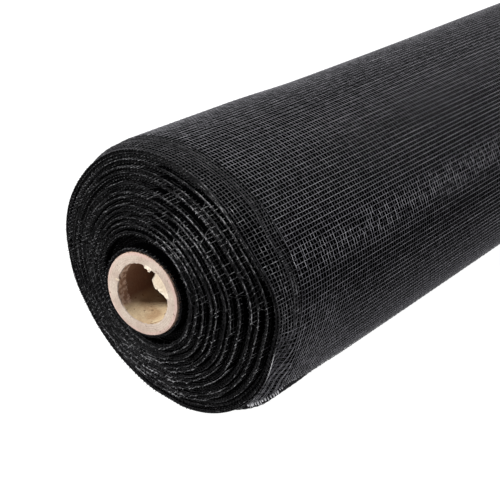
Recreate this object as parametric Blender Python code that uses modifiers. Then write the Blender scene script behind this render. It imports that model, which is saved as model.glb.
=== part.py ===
"""A roll of woven window insect-screen net on a cardboard core, lying on its side.

The roll's axis runs along X, with the end whose inner turns stand out at -X.
Three solids: the wound net, the core tube, and the loose end of the outermost ply.
Metres, +Z up, origin at the bottom centre of the whole part.
"""
import math

import bmesh
import bpy

MM = 0.001

# The net
NET_WIDTH = 600.0 * MM
PLY_STEP = 0.4 * MM
SHEET_THICKNESS = 1.0 * MM
CLEARANCE = 0.3 * MM
SHEET_ROOM = SHEET_THICKNESS + CLEARANCE

# The core tube. Its near end is cut aslant, so that it stands out most at the back and the bottom
CORE_OUTER_RADIUS = 15.1 * MM
CORE_INNER_RADIUS = 11.1 * MM
CORE_LENGTH = 616.0 * MM
CORE_STANDS_OUT = 9.95 * MM
CORE_SLANT_ACROSS = -0.141
CORE_SLANT_UP = 0.074
CORE_EDGE_BEVEL = 0.3 * MM
CORE_SIDES = 72
CORE_OFF_AXIS_Y = 0.6 * MM
CORE_OFF_AXIS_Z = 0.5 * MM

# Section of the roll, as half-ovals: towards the back (+Y), the front (-Y), up and down from the axis
RIM_OVAL = {"back": 53.0 * MM, "front": 50.4 * MM, "top": 48.7 * MM, "bottom": 48.5 * MM}
BODY_OVAL = {"back": 53.0 * MM, "front": 53.8 * MM, "top": 49.2 * MM, "bottom": 49.2 * MM}
BODY_TAPER = 0.015
TAPER_LENGTH = 200.0 * MM
AXIS_HEIGHT = 48.1 * MM
RIM_TO_BODY = 9.5 * MM
SIDE_STARTS = 18.0 * MM
RIM_BULGE = {"height": 2.9 * MM, "angle": 167.0, "half_width": 25.0}
RIM_DENT = {"height": -1.4 * MM, "angle": 38.0, "half_width": 40.0}
SAG = {"height": 1.6 * MM, "angle": 269.0, "half_width": 30.0}
RIM_STAND_OUT = {"height": 1.2 * MM, "angle": 137.0, "half_width": 30.0}
SWELL = {"height": 0.3 * MM, "lobes": 3, "turns_along": 1.6}

# The outermost ply: its near edge lies back from the rim, except close to its loose end
PLY_SETBACK = 11.5 * MM
LEAST_SETBACK = 1.0 * MM
EDGE_WALL = 0.3 * MM
FAR_LIP = 3.0 * MM
LIP_THICKNESS = 1.2 * MM

# Angles in degrees, seen from the near end: 90 is the top, 180 the front, 270 the floor
LOOSE_END_ANGLE = 225.0
LOOSE_ARC = 52.0
ROOM_WALL_ANGLE = 0.5
SHEET_START_ANGLE = LOOSE_END_ANGLE - LOOSE_ARC + 1.0
EDGE_SHORT_OF_CORNER = 8.0
CORNER_LENGTH = 12.0 * MM
LOOSE_END_LIFT = 1.2 * MM
LIFT_LENGTH = 60.0 * MM

# End faces: groups of turns from the core outwards. share_to is the group's outer side as a share
# of the winding, and stands_out is how far its edges lie in front of the rim
TURN_GROUPS = [
    {"share_to": 0.06, "stands_out": 6.9 * MM},
    {"share_to": 0.15, "stands_out": 7.5 * MM},
    {"share_to": 0.22, "stands_out": 8.4 * MM},
    {"share_to": 0.30, "stands_out": 7.2 * MM},
    {"share_to": 0.38, "stands_out": 6.5 * MM},
    {"share_to": 0.46, "stands_out": 5.6 * MM},
    {"share_to": 0.54, "stands_out": 4.9 * MM},
    {"share_to": 0.62, "stands_out": 3.9 * MM},
    {"share_to": 0.71, "stands_out": 3.2 * MM},
    {"share_to": 0.80, "stands_out": 2.3 * MM},
    {"share_to": 0.88, "stands_out": 1.5 * MM},
    {"share_to": 0.955, "stands_out": -0.8 * MM},
]
GAP_GROUP = len(TURN_GROUPS) - 1
GAP_DEPTH = {"height": 3.0 * MM, "angle": 165.0, "half_width": 60.0}
EDGE_WANDER = 0.25 * MM
WANDER_PHASE_STEP = 0.4
COLUMN_STEP = 5.0

# Torn pieces of the core's inner paper, bent into the bore at the near end
TORN_PIECES = [
    {"height": 1.8 * MM, "angle": 103.0, "half_width": 12.0},
    {"height": 4.2 * MM, "angle": 143.0, "half_width": 27.0},
]
TORN_DEPTH = 2.5 * MM

NET_COLOUR = (0.012, 0.012, 0.014, 1.0)
NET_ROUGHNESS = 0.55
CARDBOARD_COLOUR = (0.60, 0.46, 0.34, 1.0)
CARDBOARD_ROUGHNESS = 0.9


def smooth(share):
    share = min(1.0, max(0.0, share))
    return share * share * (3.0 - 2.0 * share)


def window(angle, shape):
    """A soft hump around one angle of the section."""
    away = (angle - shape["angle"] + 180.0) % 360.0 - 180.0
    if abs(away) >= shape["half_width"]:
        return 0.0
    return shape["height"] * math.cos(math.radians(90.0 * away / shape["half_width"])) ** 2


def oval_radius(angle, oval):
    across = math.cos(math.radians(angle))
    upward = math.sin(math.radians(angle))
    half_width = oval["back"] if across > 0.0 else oval["front"]
    half_height = oval["top"] if upward > 0.0 else oval["bottom"]
    return 1.0 / math.hypot(across / half_width, upward / half_height)


def above_floor(radius, angle):
    """Shortens a radius so that its point isn't below the flat that the roll rests on."""
    upward = math.sin(math.radians(angle))
    if upward < 0.0:
        return min(radius, AXIS_HEIGHT / -upward)
    return radius


def wound_back(angle):
    """Degrees of winding between the loose end and this angle."""
    return (LOOSE_END_ANGLE - angle) % 360.0


def recession(angle):
    """How far the roll's surface lies under the full oval: one spiral step round the roll."""
    back = wound_back(angle)
    if back <= LOOSE_ARC - ROOM_WALL_ANGLE:
        return SHEET_ROOM
    if back <= LOOSE_ARC:
        return 0.0
    return SHEET_ROOM * (back - LOOSE_ARC) / (360.0 - LOOSE_ARC)


def ply_edge(angle):
    """Where the outermost ply's near edge lies, measured along X from the rim."""
    back = wound_back(angle)
    rise = smooth((back - 16.0) / 48.0)
    fall = 1.0 - smooth((back - 157.0) / 203.0)
    return max(LEAST_SETBACK, PLY_SETBACK * rise * fall)


def free_rim_radius(angle):
    return oval_radius(angle, RIM_OVAL) + window(angle, RIM_BULGE) + window(angle, RIM_DENT)


def rim_radius(angle):
    return above_floor(free_rim_radius(angle), angle)


def full_radius(x, angle):
    """The outer size of the wound net at a place along the roll, before the spiral step."""
    rim = free_rim_radius(angle)
    body = oval_radius(angle, BODY_OVAL) * (1.0 - BODY_TAPER * smooth(x / TAPER_LENGTH))
    body += window(angle, SAG)
    blend = smooth(x / RIM_TO_BODY)
    turn = math.tau * SWELL["turns_along"] * x / NET_WIDTH
    swell = SWELL["height"] * math.sin(SWELL["lobes"] * math.radians(angle) + turn)
    return rim + (body + swell - rim) * blend


def surface_radius(x, angle, drop=0.0):
    return above_floor(full_radius(x, angle) - max(drop, recession(angle)), angle)


def far_rim_radius(angle):
    return surface_radius(NET_WIDTH, angle) - LIP_THICKNESS


def section_point(x, radius, angle):
    turn = math.radians(angle)
    return (x, radius * math.cos(turn), radius * math.sin(turn))


def wound_point(x, share, rim, angle):
    """A point of an end face: centred on the core at share 0 and on the roll's axis at share 1."""
    inner = CORE_OUTER_RADIUS + CLEARANCE
    x, y, z = section_point(x, inner + share * (rim - inner), angle)
    return (x, y + (1.0 - share) * CORE_OFF_AXIS_Y, z + (1.0 - share) * CORE_OFF_AXIS_Z)


def make_material(name, colour, roughness):
    material = bpy.data.materials.new(name)
    material.use_nodes = True
    shader = material.node_tree.nodes["Principled BSDF"]
    shader.inputs["Base Color"].default_value = colour
    shader.inputs["Roughness"].default_value = roughness
    shader.inputs["Metallic"].default_value = 0.0
    material.diffuse_color = colour
    return material


def make_object(name, mesh, collection, material=None):
    thing = bpy.data.objects.new(name, mesh)
    collection.objects.link(thing)
    if material is not None:
        mesh.materials.append(material)
    return thing


def shade(mesh, sharp_angle):
    mesh.shade_smooth()
    mesh.set_sharp_from_angle(angle=math.radians(sharp_angle))


def column_angles():
    """Angles of the loft's columns, with a close pair at the wall where the loose end begins."""
    wall = LOOSE_END_ANGLE - LOOSE_ARC
    count = round(360.0 / COLUMN_STEP)
    angles = [wall, wall + ROOM_WALL_ANGLE]
    for index in range(1, count):
        angles.append(wall + index * COLUMN_STEP)
    return angles


def face_stations(at_far_end):
    """Loops of points on one end face, from the core outwards. Each group of turns has two."""
    rim_at = far_rim_radius if at_far_end else rim_radius

    def loop(group, share):
        points = []
        for angle in column_angles():
            wander = EDGE_WANDER * math.sin(2.0 * math.radians(angle) + group * WANDER_PHASE_STEP)
            stand_out = TURN_GROUPS[group]["stands_out"] + wander
            if group == GAP_GROUP and not at_far_end:
                stand_out -= window(angle, GAP_DEPTH)
            x = NET_WIDTH - stand_out if at_far_end else -stand_out
            points.append(wound_point(x, share, rim_at(angle), angle))
        return points

    loops = []
    share_from = 0.0
    for group, row in enumerate(TURN_GROUPS):
        loops.append(loop(group, share_from))
        loops.append(loop(group, row["share_to"]))
        share_from = row["share_to"]
    return loops


def rim_stations(at_far_end):
    """The outermost group of turns: its inner and outer edge at one end."""
    rim_at = far_rim_radius if at_far_end else rim_radius
    share = TURN_GROUPS[-1]["share_to"]
    inner_loop = []
    outer_loop = []
    for angle in column_angles():
        x = NET_WIDTH if at_far_end else -window(angle, RIM_STAND_OUT)
        rim = rim_at(angle)
        inner_loop.append(wound_point(x, share, rim, angle))
        outer_loop.append(section_point(x, rim, angle))
    return [inner_loop, outer_loop]


def side_stations():
    """The roll's outer surface from the rim to the far lip."""
    loops = []
    band_end = []
    ply_start = []
    for angle in column_angles():
        edge = ply_edge(angle)
        low = surface_radius(edge - EDGE_WALL, angle, PLY_STEP + recession(angle))
        band_end.append(section_point(edge - EDGE_WALL, low, angle))
        high = surface_radius(edge + EDGE_WALL, angle)
        ply_start.append(section_point(edge + EDGE_WALL, high, angle))
    loops += [band_end, ply_start]
    for share in (0.35, 0.7, 1.0):
        loop = []
        for angle in column_angles():
            edge = ply_edge(angle) + EDGE_WALL
            x = edge + share * (SIDE_STARTS - edge)
            loop.append(section_point(x, surface_radius(x, angle), angle))
        loops.append(loop)
    for share in (0.1, 0.25, 0.4, 0.55, 0.7, 0.85):
        x = share * NET_WIDTH
        loops.append([section_point(x, surface_radius(x, a), a) for a in column_angles()])
    lip_x = NET_WIDTH + FAR_LIP
    loops.append([section_point(lip_x, surface_radius(NET_WIDTH, a), a) for a in column_angles()])
    loops.append([section_point(lip_x, far_rim_radius(a), a) for a in column_angles()])
    return loops


def make_net_roll(collection, material):
    """A loft right round the wall of the winding: near face, side, far face and bore."""
    far = face_stations(True) + rim_stations(True)
    loops = face_stations(False) + rim_stations(False) + side_stations() + far[::-1]
    sculpt = bmesh.new()
    rings = [[sculpt.verts.new(point) for point in loop] for loop in loops]
    count = len(rings[0])
    for index, ring in enumerate(rings):
        following = rings[(index + 1) % len(rings)]
        for column in range(count):
            beside = (column + 1) % count
            corners = (ring[column], ring[beside], following[beside], following[column])
            sculpt.faces.new(corners)
    bmesh.ops.recalc_face_normals(sculpt, faces=sculpt.faces)
    mesh = bpy.data.meshes.new("net_roll")
    sculpt.to_mesh(mesh)
    sculpt.free()
    shade(mesh, 35.0)
    return make_object("net_roll", mesh, collection, material)


def loose_edge_angle(x):
    """The cut edge: its corner at the roll's near end reaches further round than the rest."""
    return LOOSE_END_ANGLE - EDGE_SHORT_OF_CORNER * (1.0 - math.exp(-x / CORNER_LENGTH))


def loose_end_point(x_share, arc_share):
    """A point of the loose end's outer side. The near edge follows the ply's own edge."""
    x = 0.0
    angle = SHEET_START_ANGLE
    for _ in range(4):
        angle = SHEET_START_ANGLE + arc_share * (loose_edge_angle(x) - SHEET_START_ANGLE)
        start = ply_edge(angle) + EDGE_WALL
        x = start + x_share * (NET_WIDTH + FAR_LIP - start)
    lift = LOOSE_END_LIFT * smooth((arc_share - 0.55) / 0.45)
    lift *= 0.35 + 0.65 * math.exp(-x / LIFT_LENGTH)
    return section_point(x, full_radius(min(x, NET_WIDTH), angle) + lift, angle)


def make_loose_end(collection, material):
    """The last piece of the outermost ply: an open surface given its thickness inwards."""
    arc_shares = [index / 12.0 for index in range(13)]
    x_shares = [0.0, 0.006, 0.012, 0.02, 0.035, 0.06, 0.1, 0.16, 0.25, 0.4, 0.55, 0.7, 0.85, 1.0]
    sculpt = bmesh.new()
    rows = []
    for x_share in x_shares:
        rows.append([sculpt.verts.new(loose_end_point(x_share, arc)) for arc in arc_shares])
    for row, following in zip(rows, rows[1:]):
        for column in range(len(arc_shares) - 1):
            beside = column + 1
            sculpt.faces.new((row[column], following[column], following[beside], row[beside]))
    mesh = bpy.data.meshes.new("net_loose_end")
    sculpt.to_mesh(mesh)
    sculpt.free()
    outward = sum(face.normal.y * face.center.y + face.normal.z * face.center.z for face in mesh.polygons)
    if outward < 0.0:
        mesh.flip_normals()
    shade(mesh, 35.0)
    thing = make_object("net_loose_end", mesh, collection, material)
    wall = thing.modifiers.new("cloth thickness", "SOLIDIFY")
    wall.thickness = SHEET_THICKNESS
    wall.offset = -1.0
    return thing


def make_core(collection, material):
    """A paper tube: its section spun round the axis. Its near end is then pushed aslant, and the
    torn pieces are pulled into its bore."""
    bevel = CORE_EDGE_BEVEL
    outer = CORE_OUTER_RADIUS
    inner = CORE_INNER_RADIUS
    near = -CORE_STANDS_OUT
    far = near + CORE_LENGTH
    profile = [
        (far - bevel, outer),
        (near + bevel, outer),
        (near, outer - bevel),
        (near, inner),
        (near + TORN_DEPTH, inner),
        (far, inner),
        (far, outer - bevel),
    ]
    sculpt = bmesh.new()
    corners = [sculpt.verts.new((along, 0.0, radius)) for along, radius in profile]
    sides = [sculpt.edges.new((corners[i - 1], corners[i])) for i in range(len(corners))]
    bmesh.ops.spin(sculpt, geom=corners + sides, cent=(0.0, 0.0, 0.0), axis=(1.0, 0.0, 0.0),
                   angle=math.tau, steps=CORE_SIDES, use_merge=True)
    for corner in sculpt.verts:
        place = corner.co
        angle = math.degrees(math.atan2(place.z, place.y))
        at_end = place.x < near + TORN_DEPTH / 2.0
        if at_end and math.hypot(place.y, place.z) < (inner + outer) / 2.0:
            torn = sum(window(angle, piece) for piece in TORN_PIECES)
            place.y -= torn * math.cos(math.radians(angle))
            place.z -= torn * math.sin(math.radians(angle))
        if place.x < 0.0:
            place.x += CORE_SLANT_ACROSS * place.y + CORE_SLANT_UP * place.z
        place.y += CORE_OFF_AXIS_Y
        place.z += CORE_OFF_AXIS_Z
    bmesh.ops.recalc_face_normals(sculpt, faces=sculpt.faces)
    mesh = bpy.data.meshes.new("core_tube")
    sculpt.to_mesh(mesh)
    sculpt.free()
    shade(mesh, 35.0)
    return make_object("core_tube", mesh, collection, material)


def seat_on_origin(parts):
    """Moves everything together, so that the origin is the bottom centre of the whole part."""
    bpy.context.view_layer.update()
    graph = bpy.context.evaluated_depsgraph_get()
    corners = []
    for part in parts:
        shaped = part.evaluated_get(graph)
        mesh = shaped.to_mesh()
        corners += [shaped.matrix_world @ vertex.co for vertex in mesh.vertices]
        shaped.to_mesh_clear()
    low = [min(corner[axis] for corner in corners) for axis in range(3)]
    high = [max(corner[axis] for corner in corners) for axis in range(3)]
    shift = (-(low[0] + high[0]) / 2.0, -(low[1] + high[1]) / 2.0, -low[2])
    for part in parts:
        for axis in range(3):
            part.location[axis] += shift[axis]


def main():
    for thing in list(bpy.data.objects):
        bpy.data.objects.remove(thing, do_unlink=True)
    parts = bpy.data.collections.new("window_net_roll")
    bpy.context.scene.collection.children.link(parts)
    net = make_material("net_black", NET_COLOUR, NET_ROUGHNESS)
    cardboard = make_material("core_cardboard", CARDBOARD_COLOUR, CARDBOARD_ROUGHNESS)
    pieces = [
        make_net_roll(parts, net),
        make_loose_end(parts, net),
        make_core(parts, cardboard),
    ]
    seat_on_origin(pieces)


main()
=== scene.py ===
import math

import bpy
import numpy as np
from mathutils import Matrix, Vector


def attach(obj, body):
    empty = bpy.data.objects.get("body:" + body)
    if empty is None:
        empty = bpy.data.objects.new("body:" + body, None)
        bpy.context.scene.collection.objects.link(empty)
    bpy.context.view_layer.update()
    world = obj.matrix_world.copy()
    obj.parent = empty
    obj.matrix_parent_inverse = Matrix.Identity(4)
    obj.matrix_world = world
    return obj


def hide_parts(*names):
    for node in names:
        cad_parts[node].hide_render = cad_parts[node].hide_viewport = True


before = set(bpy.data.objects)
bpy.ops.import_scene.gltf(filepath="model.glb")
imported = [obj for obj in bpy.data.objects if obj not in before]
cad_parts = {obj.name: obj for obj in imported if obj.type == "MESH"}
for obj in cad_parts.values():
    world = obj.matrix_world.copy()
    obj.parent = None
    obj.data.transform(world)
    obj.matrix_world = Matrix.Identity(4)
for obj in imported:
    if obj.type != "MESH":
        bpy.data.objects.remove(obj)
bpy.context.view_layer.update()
print("frame loaded")

# The roll lies along X, its near end at -X. Lengths are in mms until place() makes a point.
# Angles are degrees in the section: 90 top, 180 front, 270 floor. "back" counts them from the cut
# edge of the net backwards along the winding: 0 is the cut edge, 360 is one turn under it.
# A hump is a height, the angle of its middle and its half width. "rise", "fall" and "fade" give
# where a change starts and over what distance it happens.
mm = 0.001
roll = {
    "seat": (-296.873, 0.379, 48.1),  # middle of the near rim
    "coreSeat": (0.6, 0.5),  # middle of the core, from the middle of the rim
    "netWidth": 600.0,
    "netPitch": 1.41,
    "yarnsRound": 177.0,
    "farLip": 3.0,
    "axisHeight": 48.1,
    "cutAngle": 225.0,
    "sheetRoom": 0.45,  # between the outermost ply and the turn under it
    "looseArc": 52.0,
    "rimOval": (53.0, 50.4, 48.7, 48.5),  # back, front, top, bottom
    "bodyOval": (53.0, 53.8, 49.2, 49.2),
    "rimHumps": [(2.9, 167.0, 25.0), (-1.1, 38.0, 40.0), (0.5, 345.0, 50.0)],
    "rimLength": 7.0,
    "taper": {"share": 0.015, "length": 200.0},
    "sag": (1.6, 269.0, 30.0),
    "ripple": {"height": 0.3, "round": 3.0, "along": 1.6},
    # humps of the wound body, and where each one fades
    "bulges": [
        ((0.6, 57.0, 60.0), None),
        ((0.85, 57.0, 60.0), (60.0, 40.0)),
        ((1.2, 217.0, 45.0), None),
        ((0.6, 219.0, 26.0), (20.0, 16.0)),
    ],
    # how far the near edges of the two outer plies are set back
    "setback": {"least": 1.0, "most": 11.5, "rise": (16.0, 48.0), "fall": (157.0, 203.0)},
    "secondSetback": {"share": 0.72, "extra": 0.5, "rise": (80.0, 60.0)},
    "secondDent": (-1.9, 144.0, 16.0),
    # the cut edge: x, degrees back. A corner of the net hangs further round at the near end
    "cutEdge": [
        (0.0, 4.0), (2.0, 6.3), (3.2, 9.8), (4.4, 14.8), (5.4, 18.8), (6.5, 21.2), (8.5, 21.8),
        (15.0, 20.6), (25.0, 16.5), (45.0, 11.0), (80.0, 9.6), (600.0, 9.6),
    ],
    "edgeLift": {"height": 0.35, "rise": (0.55, 0.45), "farShare": 0.35, "fadeLength": 60.0},
}


def smooth(share):
    share = np.clip(share, 0.0, 1.0)
    return share * share * (3.0 - 2.0 * share)


def rise(value, start, length):
    return smooth((value - start) / length)


def fromAngle(angle, middle):
    return (angle - middle + 180.0) % 360.0 - 180.0


def hump(angle, shape):
    height, middle, halfWidth = shape
    away = fromAngle(angle, middle)
    height = height * np.cos(np.radians(90.0 * away / halfWidth)) ** 2
    return np.where(np.abs(away) < halfWidth, height, 0.0)


def byAngle(angle, table):
    # a value that changes round the roll, from pairs of angle and value
    return np.interp(angle % 360.0, *np.array(table, float).T)


def angleAt(back):
    return roll["cutAngle"] - back


def ovalRadius(angle, oval):
    back, front, top, bottom = oval
    across, upward = np.cos(np.radians(angle)), np.sin(np.radians(angle))
    width = np.where(across > 0.0, back, front)
    height = np.where(upward > 0.0, top, bottom)
    return 1.0 / np.hypot(across / width, upward / height)


def aboveFloor(radius, angle, spare):
    # keeps the underside that much off the floor
    downward = -np.sin(np.radians(angle))
    most = (roll["axisHeight"] - spare) / np.maximum(downward, 0.2)
    return np.where(downward > 0.2, np.minimum(radius, most), radius)


def rimRadius(angle):
    return ovalRadius(angle, roll["rimOval"]) + sum(hump(angle, one) for one in roll["rimHumps"])


def fullRadius(x, angle):
    taper, ripple = roll["taper"], roll["ripple"]
    body = 1.0 - taper["share"] * smooth(x / taper["length"])
    body = ovalRadius(angle, roll["bodyOval"]) * body + hump(angle, roll["sag"])
    turn = np.radians(ripple["round"] * angle) + math.tau * ripple["along"] * x / roll["netWidth"]
    body = body + ripple["height"] * np.sin(turn)
    for bulge, fade in roll["bulges"]:
        body = body + hump(angle, bulge) * (1.0 - rise(x, *fade) if fade else 1.0)
    rim = rimRadius(angle)
    return rim + (body - rim) * smooth(x / roll["rimLength"])


def spiralDrop(back):
    arc = roll["looseArc"]
    return roll["sheetRoom"] * np.clip((back - arc) / (360.0 - arc), 0.0, 1.0)


def sheetRoom(back):
    # under the loose end the turn below rises to meet it
    return roll["sheetRoom"] * (1.0 - smooth(back / roll["looseArc"]))


def plyEdge(back):
    setback = roll["setback"]
    depth = setback["most"] * rise(back, *setback["rise"]) * (1.0 - rise(back, *setback["fall"]))
    return np.maximum(setback["least"], depth)


def secondEdge(back):
    second = roll["secondSetback"]
    depth = second["share"] * plyEdge(back) + second["extra"] * rise(back, *second["rise"])
    return depth + hump(angleAt(back), roll["secondDent"])


def cutBack(x):
    return np.interp(x, *np.array(roll["cutEdge"]).T)


def edgeLift(x, back):
    lift, start = roll["edgeLift"], roll["looseArc"] - 1.0
    share = rise((start - back) / (start - cutBack(x)), *lift["rise"])
    far = lift["farShare"]
    return lift["height"] * share * (far + (1.0 - far) * np.exp(-x / lift["fadeLength"]))


def plyRadius(x, back):
    wound = fullRadius(np.clip(x, 0.0, roll["netWidth"]), angleAt(back)) - spiralDrop(back)
    return wound + edgeLift(np.maximum(x, 0.0), back)


def bandRadius(x, back, under):
    drop = spiralDrop(back) + sheetRoom(back) + under
    return fullRadius(x, angleAt(back)) - drop * smooth(x / np.maximum(plyEdge(back), 1.5))


def place(x, radius, angle, toCore=0.0):
    # toCore goes from 0 round the middle of the rim to 1 round the middle of the core
    turn = np.radians(angle)
    seat, (across, up) = roll["seat"], roll["coreSeat"]
    parts = (
        x + seat[0],
        radius * np.cos(turn) + across * toCore + seat[1],
        radius * np.sin(turn) + up * toCore + seat[2],
    )
    return np.stack(np.broadcast_arrays(*parts), axis=-1) * mm


def placeAbove(x, radius, angle, spare, toCore=0.0):
    return place(x, aboveFloor(radius, angle, spare), angle, toCore)


def radial(angle):
    turn = np.radians(angle)
    return np.stack((np.zeros_like(turn), np.cos(turn), np.sin(turn)), axis=-1)


def onwards(angle):
    return radial(angle + 90.0)


def wave(seed, count, knots, strength):
    # a smooth wander of count values with about knots bends
    random = np.random.default_rng(seed)
    heights = random.uniform(-1.0, 1.0, knots + 4)
    at = np.linspace(0.0, knots + 1.0, count)
    low = np.floor(at).astype(int)
    return strength * (heights[low] + (heights[low + 1] - heights[low]) * smooth(at - low))


def overUnder(rows, columns):
    # on which side of the weave a yarn passes each crossing
    return np.where(np.add.outer(np.arange(rows), np.arange(columns)) % 2 == 0, 1.0, -1.0)


def addObject(name, data):
    made = bpy.data.objects.new(name, data)
    bpy.context.scene.collection.objects.link(made)
    return made


def faceOutwards(mesh, isOutside):
    # isOutside picks the faces that have to look away from the roll's middle line
    middle = Vector(roll["seat"]) * mm
    picked = [face for face in mesh.polygons if isOutside(face)]
    if sum(face.normal.yz.dot((face.center - middle).yz) for face in picked) < 0.0:
        mesh.flip_normals()


# Shader expressions: an operator on a Signal adds a Math node
def mathsNode(kind, swapped=False):
    def apply(self, other):
        return self.maths(kind, *((other, self) if swapped else (self, other)))
    return apply


class Signal:
    def __init__(self, tree, socket):
        self.tree = tree
        self.socket = socket

    def maths(self, kind, *values):
        node = self.tree.nodes.new("ShaderNodeMath")
        node.operation = kind
        for socket, value in zip(node.inputs, values):
            feed(self.tree, socket, value)
        return Signal(self.tree, node.outputs[0])

    __add__, __radd__ = mathsNode("ADD"), mathsNode("ADD", True)
    __sub__, __rsub__ = mathsNode("SUBTRACT"), mathsNode("SUBTRACT", True)
    __mul__, __rmul__ = mathsNode("MULTIPLY"), mathsNode("MULTIPLY", True)
    __truediv__, __rtruediv__ = mathsNode("DIVIDE"), mathsNode("DIVIDE", True)
    __pow__, __rpow__ = mathsNode("POWER"), mathsNode("POWER", True)
    larger, smaller = mathsNode("MAXIMUM"), mathsNode("MINIMUM")

    def fract(self):
        return self.maths("FRACT", self)

    def size(self):
        return self.maths("ABSOLUTE", self)


def feed(tree, socket, value):
    if isinstance(value, Signal):
        tree.links.new(value.socket, socket)
    else:
        socket.default_value = value


class Finish:
    def __init__(self, name, constants):
        self.material = bpy.data.materials.new(name)
        self.material.use_nodes = True
        self.tree = self.material.node_tree
        self.shader = self.tree.nodes["Principled BSDF"]
        self.set(constants)

    def set(self, values):
        for name, value in values.items():
            feed(self.tree, self.shader.inputs[name], value)

    def node(self, kind, settings, sockets, out=0):
        made = self.tree.nodes.new(kind)
        for name, value in settings.items():
            setattr(made, name, value)
        for key, value in sockets.items():
            feed(self.tree, made.inputs[key], value)
        return Signal(self.tree, made.outputs[out])

    def spot(self):
        return self.node("ShaderNodeTexCoord", {}, {}, out=3)

    def attribute(self, name):
        return self.node("ShaderNodeAttribute", {"attribute_name": name}, {}, out=2)

    def noise(self, scale, detail=2.0, vector=None, roughness=0.5):
        values = {"Scale": scale, "Detail": detail, "Roughness": roughness}
        return self.node("ShaderNodeTexNoise", {}, {"Vector": vector or self.spot(), **values})

    def span(self, value, low, high, toLow=0.0, toHigh=1.0):
        values = {"Value": value, 1: low, 2: high, 3: toLow, 4: toHigh}
        return self.node("ShaderNodeMapRange", {"interpolation_type": "SMOOTHSTEP"}, values)

    def spots(self, scale, detail, low, high, *outcome):
        return self.span(self.noise(scale, detail), low, high, *outcome)

    def blend(self, share, *colours, kind="MIX"):
        first, second = ((*one, 1.0) if isinstance(one, tuple) else one for one in colours)
        settings = {"data_type": "RGBA", "blend_type": kind, "clamp_factor": True}
        return self.node("ShaderNodeMix", settings, {0: share, 6: first, 7: second}, out=2)

    def parts(self, vector):
        split = self.node("ShaderNodeSeparateXYZ", {}, {0: vector}).socket.node
        return [Signal(self.tree, output) for output in split.outputs]

    def finish(self, colour, roughness, height, distance, strength):
        relief = {"Height": height, "Distance": distance, "Strength": strength}
        bump = self.node("ShaderNodeBump", {}, relief)
        self.set({"Base Color": colour, "Roughness": roughness, "Normal": bump})
        return self.material


# Black coated glass-fibre yarn: nearly black, with a soft shine that is scuffed brighter in places.
# The "glint" attribute says how far a yarn is drawn brighter, for scuffs and for painted highlights
# and sheen, or below 0 how far it is darkened as painted shade
yarnLooks = {
    # dark and pale tone, scuffed and painted-highlight tone, roughness, shine, how far the scuffs
    # and painted highlights break into dashes
    "black coated yarn":
        ((0.052, 0.052, 0.056), (0.140, 0.1375, 0.148), (0.34, 0.34, 0.35), 0.36, 0.3, 0.25),
    # the yarns at the edges and near the rim are darker copies of the same yarn: painted shade
    "black coated yarn at the edges, darkened as painted shade":
        ((0.0035, 0.0035, 0.0039), (0.0110, 0.0108, 0.0115), (0.26, 0.26, 0.265), 0.42, 0.1, 0.85),
    "black coated yarn near the rim, darkened as painted shade":
        ((0.015, 0.015, 0.016), (0.042, 0.0415, 0.044), (0.30, 0.30, 0.305), 0.38, 0.25, 0.5),
    "cut yarn ends":
        ((0.03, 0.03, 0.032), (0.08, 0.08, 0.083), (0.85, 0.85, 0.86), 0.45, 0.3, 0.1),
}
yarnGrain = {
    "dashScale": 1050.0, "mottleScale": 420.0, "grainScale": 5200.0, "relief": 0.00004,
    # the near black that painted shade darkens a yarn towards
    "paintedShadeColour": (0.002, 0.002, 0.002),
}


def makeYarnMaterial(name, dark, pale, scuffedAndHighlit, roughness, shine, dashes):
    finish = Finish(name, {"Specular IOR Level": shine})
    dash = finish.spots(yarnGrain["dashScale"], 1.0, 0.42, 0.60, 1.0 - dashes, 1.0 + 0.6 * dashes)
    glint = finish.attribute("glint") * dash
    mottle = finish.spots(yarnGrain["mottleScale"], 3.0, 0.36, 0.66)
    grain = finish.noise(yarnGrain["grainScale"])
    # painted shade: a glint below 0 darkens the yarn; above 0 it adds scuffs and painted highlights
    paintedShade = (glint * -1.0).larger(0.0).smaller(1.0)
    colour = finish.blend(glint, finish.blend(mottle, dark, pale), scuffedAndHighlit)
    colour = finish.blend(paintedShade, colour, yarnGrain["paintedShadeColour"])
    roughness = roughness + 0.22 * mottle - 0.08 * glint + 0.10 * (grain - 0.5) + 0.5 * paintedShade
    return finish.finish(colour, roughness.smaller(1.0), grain, yarnGrain["relief"], 0.35)


# The plies under the outermost one: near black as painted shade, with a dim weave of their own
underLook = {
    "hole": (0.0004, 0.0004, 0.0005),
    "yarn": (0.0010, 0.0010, 0.0011),
    "yarnShare": 0.24,
    "blur": 0.05,
    "drift": (2.2, 1.6),  # how far the weave slips along the roll and round it, in yarns
    "fray": (0.085, 0.084, 0.092),
    "roughness": 0.70,
    "shine": 0.002,
    "driftScale": 14.0,
    "patchScale": 30.0,
    "smudgeScale": 130.0,
    "streakScale": (900.0, 120.0, 120.0),
    # painted shade: the weave is drawn darker low on the roll and next to the near rim
    "lit": (0.045, 0.082),  # the weave shows less below this height, and less before this place
    "rim": (-0.2960, -0.2925),
    "relief": 0.0002,
}


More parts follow.
